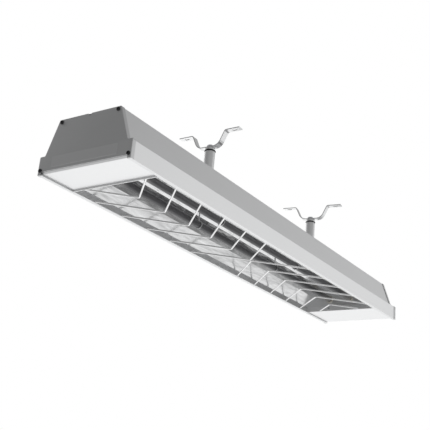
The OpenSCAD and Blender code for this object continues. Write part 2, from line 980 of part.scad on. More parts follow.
// A tube with a closed foot and head, so that it centres on its bolt
module post(x) {
    color(silver) hung() difference() {
        rod_z(x, 0, post_low, post_top, post_d / 2);
        rod_z(x, 0, post_low - over, post_top + over, bolt_bore);
        rod_z(x, 0, post_low + post_wall, post_top - post_wall, post_d / 2 - post_wall);
    }
}

module ring(x, z, h, r) {
    difference() {
        rod_z(x, 0, z, z + h, r);
        rod_z(x, 0, z - over, z + h + over, bolt_bore);
    }
}

module rubber_washer(x) {
    color(black) hung() ring(x, rubber_z, rubber_t, post_d / 2 + rubber_over);
}

module collar(x) {
    color(silver) hung() ring(x, collar_z, collar_h, post_d / 2 - collar_step);
}

strap_half = rounded([[0, 0], [seat_half, 0], [tab_bend_y, strap_rise],
    [tab_bend_y + tab_l, strap_rise]], [seat_bend_r, tab_bend_r]);
tab_slot_y = tab_bend_y + (tab_l + tab_bend_r) / 2;

module tab_slot(y) {
    straight = tab_slot_l - tab_slot_w;
    z = [strap_rise - over, strap_rise + strap_t + over];
    for (s = [-1, 1]) rod_z(0, y + s * straight / 2, z[0], z[1], tab_slot_w / 2);
    box([-tab_slot_w / 2, tab_slot_w / 2], [y - straight / 2, y + straight / 2], z);
}

// A hat-shaped strap that lies across the heater, turned about its bolt
module strap(x, turn) {
    half = [for (i = [1 : len(strap_half) - 1]) strap_half[i]];
    color(silver) hung() translate([x, 0, seat_z]) rotate([0, 0, turn])
        translate([0, strap_off, 0]) difference() {
            along_x(-strap_w / 2, strap_w / 2) polygon(sheet(both(half), strap_t));
            rod_z(0, -strap_off, -over, strap_t + over, bolt_bore);
            for (s = [-1, 1]) tab_slot(s * tab_slot_y);
        }
}

module lock_nut(x) {
    z = seat_z + strap_t + gap;
    color(steel) hung() difference() {
        translate([x, 0, z]) hex_nut(nut_h, nut_flats);
        rod_z(x, 0, z - over, z + nut_h + over, bolt_bore);
    }
}

module near_slot_nut() { slot_nut(near_x); }
module near_bolt() { bolt(near_x); }
module near_post() { post(near_x); }
module near_rubber_washer() { rubber_washer(near_x); }
module near_collar() { collar(near_x); }
module near_strap() { strap(near_x, near_angle); }
module near_lock_nut() { lock_nut(near_x); }

module far_slot_nut() { slot_nut(far_x); }
module far_bolt() { bolt(far_x); }
module far_post() { post(far_x); }
module far_rubber_washer() { rubber_washer(far_x); }
module far_collar() { collar(far_x); }
module far_strap() { strap(far_x, far_angle); }
module far_lock_nut() { lock_nut(far_x); }

housing();
near_end_cap();
far_end_cap();
near_cap_gasket();
far_cap_gasket();
label_plate();
cap_screws();
near_fascia();
far_fascia();
left_guard_rail();
right_guard_rail();
near_guard_bar();
far_guard_bar();
near_guard_wires();
far_guard_wires();
guard_screws();
reflector();
near_bulkhead();
far_bulkhead();
reflector_rivets();
left_element();
right_element();
element_bushes();
element_hangers();
element_studs();
stud_nuts();
lead_lugs();
live_lead();
neutral_lead();
link_lead();
earth_lead();
terminal_bracket();
terminal_block();
terminal_screws();
earth_screw();
gland_body();
gland_seal();
gland_cap();
gland_nut();
near_slot_nut();
near_bolt();
near_post();
near_rubber_washer();
near_collar();
near_strap();
near_lock_nut();
far_slot_nut();
far_bolt();
far_post();
far_rubber_washer();
far_collar();
far_strap();
far_lock_nut();
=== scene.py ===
"""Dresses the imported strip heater: satin aluminium housing and caps, mirror reflector, dark elements,
bright herringbone guard and ceiling hangers, in a plain white studio.

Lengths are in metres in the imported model's frame: X along the heater, Y across it and Z up, with the
origin on the ceiling. Every new piece takes its place from the CAD node that it stands for.
"""
import json
import math

import bmesh
import bpy
import numpy as np
from bpy.props import FloatProperty, FloatVectorProperty, PointerProperty
from mathutils import Matrix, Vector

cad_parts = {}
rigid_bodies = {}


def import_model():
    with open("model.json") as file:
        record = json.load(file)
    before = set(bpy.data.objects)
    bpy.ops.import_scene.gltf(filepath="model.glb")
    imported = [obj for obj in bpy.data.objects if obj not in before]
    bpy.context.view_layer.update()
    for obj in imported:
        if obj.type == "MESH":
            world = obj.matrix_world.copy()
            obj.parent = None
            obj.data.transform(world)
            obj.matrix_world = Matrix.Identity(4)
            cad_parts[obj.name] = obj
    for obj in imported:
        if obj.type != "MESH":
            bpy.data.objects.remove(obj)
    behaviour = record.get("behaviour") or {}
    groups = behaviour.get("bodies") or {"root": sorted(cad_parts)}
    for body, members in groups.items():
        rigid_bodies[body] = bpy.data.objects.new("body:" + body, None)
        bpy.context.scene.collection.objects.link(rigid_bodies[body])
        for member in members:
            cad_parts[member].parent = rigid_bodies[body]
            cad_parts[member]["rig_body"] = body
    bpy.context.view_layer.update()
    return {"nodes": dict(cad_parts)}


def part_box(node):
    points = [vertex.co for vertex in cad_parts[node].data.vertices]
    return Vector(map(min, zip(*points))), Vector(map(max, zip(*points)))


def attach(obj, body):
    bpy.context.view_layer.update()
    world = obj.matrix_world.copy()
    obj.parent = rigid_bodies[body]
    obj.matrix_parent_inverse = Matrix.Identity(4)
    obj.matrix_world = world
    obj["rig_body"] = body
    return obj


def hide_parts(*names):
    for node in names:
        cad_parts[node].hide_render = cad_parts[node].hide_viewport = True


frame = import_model()

bl_info = {
    "name": "Hanging strip heater",
    "version": (1, 0, 0),
    "blender": (4, 5, 0),
    "location": "View3D > Sidebar > Heater",
    "description": "Builds the looks of a hanging strip heater around its packed frame",
    "category": "Add Mesh",
}

TURN = 2 * math.pi
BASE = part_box("housing")[0].z


# Reading the frame

def solids_of(node):
    """Boxes (lowest, highest corner) of a CAD node's solids, in order of X, Y and Z.

    Corners at one place get one label. Each triangle hands its lowest label to its corners until
    nothing changes, and the points of one label are one solid.
    """
    mesh = frame["nodes"][node].data
    mesh.calc_loop_triangles()
    points = np.empty(len(mesh.vertices) * 3)
    mesh.vertices.foreach_get("co", points)
    points = points.reshape(-1, 3)
    corners = np.empty(len(mesh.loop_triangles) * 3, np.int32)
    mesh.loop_triangles.foreach_get("vertices", corners)
    same = np.unique(np.round(points, 6), axis=0, return_inverse=True)[1].ravel()
    triangles = same[corners].reshape(-1, 3)
    label = np.arange(same.max() + 1)
    while True:
        lower = label.copy()
        np.minimum.at(lower, triangles, np.repeat(label[triangles].min(1)[:, None], 3, 1))
        lower = lower[lower]
        if (lower == label).all():
            break
        label = lower
    own = label[same]
    boxes = [(points[own == n].min(0), points[own == n].max(0)) for n in np.unique(own)]
    return sorted(boxes, key=lambda b: tuple(np.round(b[0] + b[1], 4)))


def node_box(node):
    """Lowest and highest corner of a CAD node as arrays."""
    low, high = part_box(node)
    return np.array(low), np.array(high)


# Surfaces, each a pair of points and faces

def skin(points, wrap_rows=False, wrap_columns=True, close=True):
    """A grid of points (rows, columns, 3) joined by quads.

    Row i, column j has the corners (i, j), (i, j + 1), (i + 1, j + 1), (i + 1, j). A direction that
    wraps joins its last line to its first, and close puts a flat face on the first and last row.
    """
    rows, columns = points.shape[:2]
    i = np.arange(rows if wrap_rows else rows - 1)
    j = np.arange(columns if wrap_columns else columns - 1)
    i, j = np.meshgrid(i, j, indexing="ij")
    below, beside = (i + 1) % rows, (j + 1) % columns
    quads = np.stack(
        [i * columns + j, i * columns + beside, below * columns + beside, below * columns + j], -1
    )
    faces = quads.reshape(-1, 4).tolist()
    if close and not wrap_rows:
        faces.append(list(range(columns))[::-1])
        faces.append(list(range((rows - 1) * columns, rows * columns)))
    return points.reshape(-1, 3), faces


def joined(surfaces):
    """Several surfaces as one."""
    points, faces, start = [], [], 0
    for own, theirs in surfaces:
        points.append(own)
        faces += [[start + i for i in face] for face in theirs]
        start += len(own)
    return np.concatenate(points), faces


def across(axis):
    """Two unit vectors square to a unit axis and to each other."""
    helper = np.eye(3)[np.argmin(np.abs(axis))]
    u = np.cross(axis, helper)
    u /= np.linalg.norm(u)
    return u, np.cross(axis, u)


def angles(sides):
    """Even angles round a full turn."""
    return np.arange(sides) * TURN / sides


def turned(radii, heights, place, axis=(0, 0, 1), sides=48, wrap_rows=False):
    """A profile turned about an axis through place: place + r (cos a u + sin a v) + h w.

    radii holds one radius for each row, or one for each row and angle.
    """
    w = np.array(axis, float)
    u, v = across(w)
    a = angles(sides)
    r = np.array([np.broadcast_to(row, sides) for row in radii])[..., None]
    h = np.array(heights, float)[:, None, None]
    points = np.array(place) + r * (np.cos(a)[:, None] * u + np.sin(a)[:, None] * v) + h * w
    return skin(points, wrap_rows=wrap_rows)


def hexagon(flats, sides=48):
    """Radius of a hexagon over the angles: half its width over flats, over cos of the angle past
    the middle of the nearest side."""
    a = (angles(sides) + TURN / 12) % (TURN / 6) - TURN / 12
    return flats / 2 / np.cos(a)


def tube(path, radius, sides=16):
    """A round tube along a path, with rings square to it: p + r (cos a u + sin a v).

    The sideways vector u is carried along the path by taking away what points along it.
    """
    path = np.asarray(path, float)
    way = np.gradient(path, axis=0)
    way /= np.linalg.norm(way, axis=1)[:, None]
    u = np.empty_like(path)
    side = across(way[0])[0]
    for i, w in enumerate(way):
        side = side - w * (side @ w)
        side /= np.linalg.norm(side)
        u[i] = side
    v = np.cross(way, u)
    a = angles(sides)
    r = np.broadcast_to(radius, len(path))[:, None, None]
    rings = path[:, None] + r * (
        np.cos(a)[None, :, None] * u[:, None] + np.sin(a)[None, :, None] * v[:, None]
    )
    return skin(rings)


def rounded(corners, radius, steps=5, closed=False):
    """A line through corners in a plane, each inner corner replaced by an arc of its radius.

    The arc's centre lies on the corner's bisector, radius / sin(half angle) away.
    """
    corners = np.asarray(corners, float)
    count = len(corners)
    radius = np.broadcast_to(radius, count)
    out = []
    for i in range(count):
        if not closed and i in (0, count - 1) or radius[i] == 0:
            out.append(corners[i : i + 1])
            continue
        here = corners[i]
        a = corners[i - 1] - here
        b = corners[(i + 1) % count] - here
        a, b = a / np.linalg.norm(a), b / np.linalg.norm(b)
        half = math.acos(np.clip(a @ b, -1, 1)) / 2
        middle = (a + b) / np.linalg.norm(a + b)
        centre = here + middle * radius[i] / math.sin(half)
        start = here + a * radius[i] / math.tan(half) - centre
        end = here + b * radius[i] / math.tan(half) - centre
        t = np.linspace(0, 1, steps + 1)[:, None]
        arc = start * (1 - t) + end * t
        out.append(centre + radius[i] * arc / np.linalg.norm(arc, axis=1)[:, None])
    return np.concatenate(out)


def offset(line, distance):
    """A line in a plane moved to its left by a distance, with mitred corners.

    Each point moves along (a + b) / (1 + a.b), where a and b are the left normals beside it.
    """
    line = np.asarray(line, float)
    step = np.diff(line, axis=0)
    normal = np.stack([-step[:, 1], step[:, 0]], -1)
    normal /= np.linalg.norm(normal, axis=1)[:, None]
    a = np.concatenate([normal[:1], normal])
    b = np.concatenate([normal, normal[-1:]])
    return line + distance * (a + b) / (1 + (a * b).sum(1))[:, None]


def mirrored(half):
    """A half outline at +Y with its mirror image put before it."""
    return np.concatenate([half[::-1] * (-1, 1), half])


def smooth_route(places, steps=8):
    """Catmull-Rom curve through places: with t from 0 to 1 between b and c, half of
    2b + (c - a) t + (2a - 5b + 4c - d) t^2 + (3b - a - 3c + d) t^3."""
    p = np.asarray(places, float)
    p = np.concatenate([p[:1], p, p[-1:]])
    a, b, c, d = p[:-3, None], p[1:-2, None], p[2:-1, None], p[3:, None]
    t = (np.arange(steps) / steps)[None, :, None]
    curve = 2 * b + (c - a) * t + (2 * a - 5 * b + 4 * c - d) * t**2
    curve = (curve + (3 * b - a - 3 * c + d) * t**3) / 2
    return np.concatenate([curve.reshape(-1, 3), p[-1:]])


def piece(name, surfaces, slot, *nodes, crease=35, finish=None):
    """Makes one mesh object of surfaces, on the body of the CAD nodes that it stands for and with
    the finish of its material slot, or of the slot that finish names."""
    points, faces = joined(surfaces)
    mesh = bpy.data.meshes.new(name)
    mesh.from_pydata(points.tolist(), [], faces)
    mesh.validate()
    shape = bmesh.new()
    shape.from_mesh(mesh)
    bmesh.ops.recalc_face_normals(shape, faces=shape.faces)
    shape.to_mesh(mesh)
    shape.free()
    mesh.shade_smooth()
    mesh.set_sharp_from_angle(angle=math.radians(crease))
    mesh.materials.append(finish_of(finish or slot))
    thing = bpy.data.objects.new(name, mesh)
    bpy.context.scene.collection.objects.link(thing)
    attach(thing, frame["nodes"][nodes[0]]["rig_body"])
    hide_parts(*nodes)
    return thing


# Finishes

# Each CAD node brings a plain material named after its slot. The slot's finish has that name and
# this ending
FINISH_ENDING = "_finish"


def finish_of(slot):
    return bpy.data.materials[slot + FINISH_ENDING]


class Value:
    """A socket of a node tree that takes part in Python expressions."""

    def __init__(self, tree, socket):
        self.tree = tree
        self.socket = socket

    def maths(self, operation, *values):
        node = self.tree.nodes.new("ShaderNodeMath")
        node.operation = operation
        for socket, value in zip(node.inputs, values):
            give(self.tree, socket, value)
        return Value(self.tree, node.outputs[0])

    def __add__(self, other):
        return self.maths("ADD", self, other)

    def __sub__(self, other):
        return self.maths("SUBTRACT", self, other)

    def __rsub__(self, other):
        return self.maths("SUBTRACT", other, self)

    def __mul__(self, other):
        return self.maths("MULTIPLY", self, other)

    def __truediv__(self, other):
        return self.maths("DIVIDE", self, other)

    __radd__ = __add__
    __rmul__ = __mul__

    def clamped(self):
        return self.maths("MINIMUM", self.maths("MAXIMUM", self, 0.0), 1.0)

    def above(self, low, high):
        """0 below low and 1 above high, with an even rise between."""
        return ((self - low) / (high - low)).clamped()

    def absolute(self):
        return self.maths("ABSOLUTE", self)

    def sine(self):
        return self.maths("SINE", self)

    def exponential(self):
        return self.maths("EXPONENT", self)


def give(tree, socket, value):
    """Links a value to a socket, or sets the number or colour on it."""
    if isinstance(value, Value):
        tree.links.new(value.socket, socket)
    else:
        if hasattr(value, "__len__") and len(value) == 3 and socket.type == "RGBA":
            value = (*value, 1.0)
        socket.default_value = value


class Nodes:
    """A node tree that grows by node()."""

    def __init__(self, tree):
        self.tree = tree
        tree.nodes.clear()

    def node(self, kind, settings=None, sockets=None, output=0):
        """Adds a node of a kind, sets its settings, then its sockets, and returns one output."""
        node = self.tree.nodes.new(kind)
        for name, value in (settings or {}).items():
            setattr(node, name, value)
        for name, value in (sockets or {}).items():
            give(self.tree, node.inputs[name], value)
        return Value(self.tree, node.outputs[output]) if node.outputs else node

    def scaled(self, vector, scale):
        return self.node(
            "ShaderNodeVectorMath", {"operation": "MULTIPLY"}, {0: vector, 1: scale}
        )

    def dot(self, vector, other):
        return self.node(
            "ShaderNodeVectorMath", {"operation": "DOT_PRODUCT"}, {0: vector, 1: other}, "Value"
        )

    def noise(self, vector, scale, detail=2.0, roughness=0.5):
        """Noise about 0, by up to a half each way."""
        sockets = {"Vector": vector, "Scale": scale, "Detail": detail, "Roughness": roughness}
        return self.node("ShaderNodeTexNoise", None, sockets) - 0.5

    def part(self, vector, axis):
        return self.node("ShaderNodeSeparateXYZ", None, {0: vector}, axis)

    def mixed(self, factor, a, b):
        return self.node(
            "ShaderNodeMix", {"data_type": "RGBA"}, {0: factor, 6: a, 7: b}, output=2
        )

    def tinted(self, colour, tone):
        """A colour made lighter or darker by a tone about 1."""
        return self.node(
            "ShaderNodeVectorMath", {"operation": "SCALE"}, {0: tuple(colour), "Scale": tone}
        )


class Finish(Nodes):
    """A material with one Principled shader."""

    def __init__(self, name, **constants):
        self.material = bpy.data.materials.new(name + FINISH_ENDING)
        self.material.use_nodes = True
        super().__init__(self.material.node_tree)
        self.shader = self.tree.nodes.new("ShaderNodeBsdfPrincipled")
        output = self.tree.nodes.new("ShaderNodeOutputMaterial")
        self.tree.links.new(self.shader.outputs[0], output.inputs["Surface"])
        self.place = self.node("ShaderNodeTexCoord", output="Object")
        for constant, value in constants.items():
            self.wear(constant.replace("_", " ").title(), value)

    def wear(self, socket, value):
        give(self.tree, self.shader.inputs[socket], value)

    def bump(self, height, strength, distance):
        sockets = {"Strength": strength, "Distance": distance, "Height": height}
        self.wear("Normal", self.node("ShaderNodeBump", None, sockets))


def satin_metal(name, colour, roughness, grain, streak=0.04, cloud=0.03, metallic=1.0):
    """Satin sheet or extrusion: fine lines along its grain and faint broad clouds."""
    f = Finish(name, metallic=metallic)
    lines = f.noise(f.scaled(f.place, grain), 1.0, 3.0, 0.6)
    clouds = f.noise(f.place, 11.0, 2.0)
    f.wear("Base Color", f.tinted(colour, 1 + lines * streak + clouds * cloud))
    f.wear("Roughness", roughness + lines * 0.08 + clouds * 0.05)
    f.bump(lines, strength=0.12, distance=0.0002)


def mirror_sheet(name, colour, roughness):
    """Polished sheet with a trace of rolling lines and a slow ripple."""
    f = Finish(name, metallic=1.0)
    lines = f.noise(f.scaled(f.place, (6, 500, 500)), 1.0, 2.0)
    haze = f.noise(f.place, 14.0, 3.0)
    f.wear("Base Color", f.tinted(colour, 1 + haze * 0.04))
    f.wear("Roughness", roughness + haze * 0.03 + lines * 0.02)
    waves = f.noise(f.scaled(f.place, (7, 22, 22)), 1.0, 3.0)
    f.bump(waves + lines * 0.01, strength=0.8, distance=0.006)


def bright_wire(name, colour, roughness):
    """Drawn wire with light die marks."""
    f = Finish(name, metallic=1.0)
    marks = f.noise(f.place, 900.0, 2.0)
    f.wear("Base Color", f.tinted(colour, 1 + marks * 0.05))
    f.wear("Roughness", roughness + marks * 0.06)
    f.bump(marks, strength=0.05, distance=0.0001)


def oxidised_sheath(name, colour, cold_colour, middle, reach, fade):
    """Element sheath: dark and matt where it heats, with bare steel at its cold ends."""
    f = Finish(name, metallic=0.6)
    cold = (f.part(f.place, "X") - middle).absolute().above(reach - fade, reach)
    blotches = f.noise(f.scaled(f.place, (25, 90, 90)), 1.0, 4.0, 0.65)
    tone = 1 + blotches * 0.5
    f.wear("Base Color", f.mixed(cold, f.tinted(colour, tone), cold_colour))
    f.wear("Roughness", 0.42 + blotches * 0.2 - cold * 0.08)
    f.bump(blotches, strength=0.1, distance=0.0003)


def glazed(name, colour):
    """Glazed steatite, with faint mottling under the glaze."""
    f = Finish(name, roughness=0.35, coat_weight=0.6)
    mottle = f.noise(f.place, 260.0, 3.0)
    f.wear("Base Color", f.tinted(colour, 1 + mottle * 0.12))
    f.bump(mottle, strength=0.08, distance=0.0002)


def moulded(name, colour, roughness):
    """Moulded nylon or rubber with a fine spark-eroded grain."""
    f = Finish(name)
    grain = f.noise(f.place, 1400.0, 3.0)
    dust = f.noise(f.place, 60.0, 3.0)
    f.wear("Base Color", f.tinted(colour, 1 + dust * 0.5))
    f.wear("Roughness", roughness + dust * 0.12)
    f.bump(grain, strength=0.25, distance=0.0002)


def plated_steel(name, colour, roughness, metallic=1.0):
    """Plated or blackened steel with a fine crystalline mottling."""
    f = Finish(name, metallic=metallic)
    grains = f.noise(f.place, 420.0, 3.0)
    patches = f.noise(f.place, 70.0, 2.0)
    f.wear("Base Color", f.tinted(colour, 1 + grains * 0.16 + patches * 0.08))
    f.wear("Roughness", roughness + grains * 0.14)
    f.bump(grains, strength=0.08, distance=0.0002)


def woven_sleeve(name, colour, stripe):
    """Braided sleeve: two crossing sets of strands, and a second colour in broad bands."""
    f = Finish(name, roughness=0.8)
    x, y, z = (f.part(f.place, axis) for axis in "XYZ")
    weave = ((x + y + z) * 6000).sine() * ((x - y - z) * 6000).sine()
    band = ((x + y * 2 + z * 2) * 500).sine().above(0.2, 0.5)
    f.wear("Base Color", f.mixed(band, f.tinted(colour, 1 + weave * 0.1), stripe))
    f.bump(weave, strength=0.4, distance=0.0002)


# Sizes and colours that a user may change

def length(name, description, default):
    return FloatProperty(
        name=name, description=description, default=default, min=0.0, subtype="DISTANCE",
        unit="LENGTH", precision=5,
    )


def colour(name, description, default):
    return FloatVectorProperty(
        name=name, description=description, default=default, min=0.0, max=1.0, subtype="COLOR"
    )


def angle(name, description, degrees):
    return FloatProperty(
        name=name, description=description, default=math.radians(degrees), subtype="ANGLE",
        unit="ROTATION",
    )


class HeaterFinishes(bpy.types.PropertyGroup):
    """Colours of the metals and mouldings."""

    satin: colour("Satin aluminium", "Housing and inner sheets", (0.86, 0.865, 0.87))
    fascia: colour("Bottom plates", "Fascias, guard frame and collars", (0.925, 0.93, 0.935))
    # Painted shade: the caps are the same satin as the housing, and this darker colour stands in for
    # the shade on their end faces, which look away from the light. It darkens their rims as well.
    pressed: colour("Pressed sheet", "End caps", (0.72, 0.725, 0.73))
    plate: colour("Rating plate", "Bare plate on the near cap", (0.77, 0.775, 0.78))
    mirror: colour("Mirror sheet", "Reflector", (0.90, 0.905, 0.91))
    strap: colour("Strap", "Ceiling straps and posts", (0.96, 0.965, 0.97))
    wire: colour("Bright wire", "Guard wires", (0.97, 0.972, 0.975))
    sheath: colour("Element sheath", "Heated part of the elements", (0.14, 0.14, 0.145))
    cold_sheath: colour("Cold ends", "Unheated ends of the elements", (0.45, 0.44, 0.43))
    zinc: colour("Zinc", "Bolts and nuts", (0.66, 0.67, 0.69))
    blackened: colour("Blackened steel", "Screws of the caps", (0.035, 0.035, 0.038))
    brass: colour("Brass", "Lugs and terminal screws", (0.80, 0.60, 0.28))
    ceramic: colour("Ceramic", "Bushes and terminal block", (0.86, 0.82, 0.73))
    black: colour("Black", "Rubber and nylon", (0.045, 0.045, 0.047))
    sleeve: colour("Sleeve", "Woven sleeves of the leads", (0.72, 0.71, 0.67))
    fleck: colour("Fleck", "Second colour of those sleeves", (0.66, 0.65, 0.61))
    earth: colour("Earth", "Cover of the earth lead", (0.10, 0.36, 0.07))
    earth_stripe: colour("Earth stripe", "Stripe on that cover", (0.80, 0.66, 0.05))


class HeaterCaps(bpy.types.PropertyGroup):
    """Sizes of the pressed end caps and their plate."""

    sheet: length("Sheet", "Thickness of a cap's face", 0.0015)
    rim: length("Rim", "Wall of the rim over the housing's end", 0.0008)
    bend: length("Bend", "Outer radius between face and rim", 0.0012)
    top: length("Top", "Width of the flat top of the housing", 0.136)
    ledge: length("Ledge", "Width of the ledge outside the sloped side", 0.0115)
    flange: length("Flange", "Height of the bottom flanges", 0.034)
    corner: length("Corner", "Outer radius at the flanges", 0.0025)
    lip: length("Lip", "Width of the lip along each bottom edge", 0.0072)
    cut: length("Cut", "Height of the face's bottom edge between the legs", 0.0057)
    notch: length("Notch", "Depth of the notch over the slot", 0.0045)
    slot: length("Slot", "Width of the slot along the top", 0.009)
    plate_corner: length("Plate corner", "Corner radius of the rating plate", 0.002)


class HeaterFasteners(bpy.types.PropertyGroup):
    """Sizes of screws, nuts and rivets."""

    chamfer: length("Chamfer", "Chamfer on stud nuts, collars and posts", 0.0007)
    nut_chamfer: length("Nut chamfer", "Chamfer on the lock nuts", 0.0012)
    rubber_edge: length("Rubber edge", "Edge radius of the rubber washers", 0.0014)
    pitch: length("Pitch", "Thread pitch of the hanger bolts", 0.00125)
    depth: length("Thread depth", "Depth of that thread", 0.0006)
    shank: length("Shank", "Radius of the cap screws", 0.0016)
    small_shank: length("Small shank", "Radius of the guard screws", 0.0015)
    rivet: length("Rivet", "Radius of the reflector rivets", 0.0016)
    bolt: length("Bolt", "Radius of the hanger bolts", 0.004)
    clearance: length("Clearance", "Radial clearance round bolts", 0.0001)
    stud_bore: length("Stud bore", "Radius of the bore of the stud nuts", 0.0021)
    earth_head: length("Earth head", "Radius of the earth stud's head", 0.0035)
    earth_thread: length("Earth thread", "Radius of the earth stud", 0.002)
    earth_tall: length("Earth height", "Height of its head and of its nut", 0.0032)
    earth_flats: length("Earth flats", "Width of its nut over flats", 0.007)
    earth_edge: length("Earth edge", "Chamfer on its end and its nut", 0.0005)


class HeaterGuard(bpy.types.PropertyGroup):
    """Sizes of the guard wires."""

    wire: length("Wire", "Radius of the wires", 0.00175)
    bend: length("Bend", "Radius of the bend in a wire", 0.004)
    bead: length("Bead", "Length of a weld bead", 0.0022)
    swell: FloatProperty(
        name="Swell", description="Growth of a wire's radius at a weld", default=0.18, min=0.0
    )


class HeaterReflector(bpy.types.PropertyGroup):
    """Sizes of the reflector and the elements under it."""

    roof: length("Roof", "Half width of the flat roof", 0.0455)
    roof_height: length("Roof height", "Height of the roof above the bottom", 0.060)
    fold: length("Fold", "Half width at the side's fold", 0.064)
    fold_height: length("Fold height", "Height of that fold", 0.033)
    sheet: length("Sheet", "Thickness of the sheet", 0.0008)
    bend: length("Bend", "Radius of the folds", 0.0025)
    ripple: length("Ripple", "Height of the sheet's slow ripple", 0.00010)
    fade: length("Fade", "Width along each long edge where the ripple fades out", 0.03)
    cold_end: length("Cold end", "Unheated length at each end of an element", 0.055)
    flange: length("Flange", "Thickness of a bush's flange and how far it stands out", 0.002)
    edge: length("Edge", "Chamfer on the bushes", 0.0005)
    play: length("Play", "Play round the bushes", 0.0001)


class HeaterLeads(bpy.types.PropertyGroup):
    """Sizes of the inner leads."""

    radius: length("Radius", "Radius of a lead", 0.0016)
    bend: length("Bend", "Length over which a lead turns", 0.010)
    play: length("Play", "Gap between a lead and the face of its lug", 0.0003)
    barrel: length("Barrel", "Distance of a lead's axis from the end of its lug", 0.0021)
    grip: length("Grip", "Length of a lead inside the terminal block", 0.004)


class HeaterGland(bpy.types.PropertyGroup):
    """Sizes of the cable gland."""

    thread: length("Thread", "Radius of the body's thread", 0.010)
    end: length("Thread end", "Chamfer on the ends of the thread", 0.0006)
    flange: length("Flange", "Height of the body's hexagon", 0.005)
    chamfer: length("Chamfer", "Height of the bevels of the hexagons", 0.0008)
    cable: length("Cable", "Radius of the seal's bore", 0.0045)
    edge: length("Edge", "Chamfer on the seal", 0.0005)
    neck: length("Neck", "Height of the cap's hexagon", 0.009)
    outer: length("Outer", "Radius of the cap over its ribs", 0.012)
    rib: length("Rib", "Depth of the ribs and chamfer of the mouth", 0.0004)
    dome: length("Dome", "Radius of the cap's rounded end", 0.0025)
    mouth: length("Mouth", "Radius of the cap's mouth", 0.0055)
    play: length("Play", "Play between the pieces", 0.0001)


class HeaterStage(bpy.types.PropertyGroup):
    """Camera, floor and lighting."""

    focal: FloatProperty(
        name="Focal length", description="For a 36 mm sensor", default=68.507, unit="CAMERA"
    )
    azimuth: angle("Azimuth", "Turn of the view about Z", -55.160)
    elevation: angle("Elevation", "Negative when looking up", -19.745)
    roll: angle("Roll", "Turn about the view", 5.198)
    camera: FloatVectorProperty(
        name="Camera", description="Place of the camera", default=(-1.46862, -0.90587, -0.73717),
        subtype="TRANSLATION", unit="LENGTH",
    )
    floor_depth: length("Floor depth", "Height of the ceiling above the floor", 2.6)
    floor_size: length("Floor size", "Width of the floor", 16.0)
    floor_colour: colour("Floor", "Colour of the floor", (0.86, 0.86, 0.855))


# Operators

class HeaterOperator:
    """What all the operators share."""

    bl_options = {"REGISTER"}

    def execute(self, context):
        self.build(context.scene.heater)
        return {"FINISHED"}


class HEATER_OT_finishes(HeaterOperator, bpy.types.Operator):
    """Make a finish for each material slot and put it on the CAD nodes"""

    bl_idname = "heater.finishes"
    bl_label = "Finishes"

    def build(self, heater):
        c = heater.finishes
        satin_metal("housing_satin", c.satin, 0.42, (9, 1200, 1200))
        satin_metal("fascia_satin", c.fascia, 0.40, (9, 1200, 1200))
        # The caps' finish takes the darker cap colour, which is painted shade on their end faces
        satin_metal("cap_satin", c.pressed, 0.46, (900, 9, 900), cloud=0.06)
        satin_metal("label", c.plate, 0.40, (900, 12, 900))
        satin_metal("post_satin", c.strap, 0.35, (60, 60, 1500), metallic=0.4)
        satin_metal("strap_satin", c.strap, 0.18, (1100, 12, 300), metallic=0.85)
        satin_metal("inner_sheet", c.satin, 0.36, (700, 9, 9), cloud=0.08)
        satin_metal("stainless", c.fascia, 0.40, (10, 10, 1500), metallic=0.6)
        mirror_sheet("mirror_sheet", c.mirror, 0.20)
        bright_wire("bright_wire", c.wire, 0.22)
        low, high = node_box("left_element")
        half = (high[0] - low[0]) / 2
        cold = heater.reflector.cold_end
        middle, reach = (high[0] + low[0]) / 2, half - cold / 2
        oxidised_sheath("element_sheath", c.sheath, c.cold_sheath, middle, reach, cold)
        glazed("ceramic", c.ceramic)
        plated_steel("zinc_steel", c.zinc, 0.34)
        plated_steel("black_steel", c.blackened, 0.32, metallic=0.4)
        plated_steel("brass", c.brass, 0.3)
        moulded("black_rubber", c.black, 0.75)
        moulded("gasket", c.black, 0.75)
        moulded("black_plastic", c.black, 0.5)
        woven_sleeve("lead_sleeve", c.sleeve, c.fleck)
        woven_sleeve("earth_sleeve", c.earth, c.earth_stripe)
        for node in frame["nodes"].values():
            for place in node.material_slots:
                place.material = finish_of(place.material.name.removesuffix(FINISH_ENDING))
        # The element hangers look like the sheet that they hang from
        for place in frame["nodes"]["element_hangers"].material_slots:
            place.material = finish_of("inner_sheet")


def cap_path(c, high):
    """The cap's outer edge over one half, from the middle of the notch down to the leg's end."""
    y, z = high[1], high[2] - BASE
    grow = z - (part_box("housing")[1].z - BASE)
    corners = [
        (0, z - c.notch),
        (c.slot / 2, z),
        (c.top / 2 + grow, z),
        (y - c.ledge, c.flange + grow),
        (y, c.flange + grow),
        (y, 0),
    ]
    return rounded(corners, [0, 0, c.corner, c.corner, c.corner, 0])


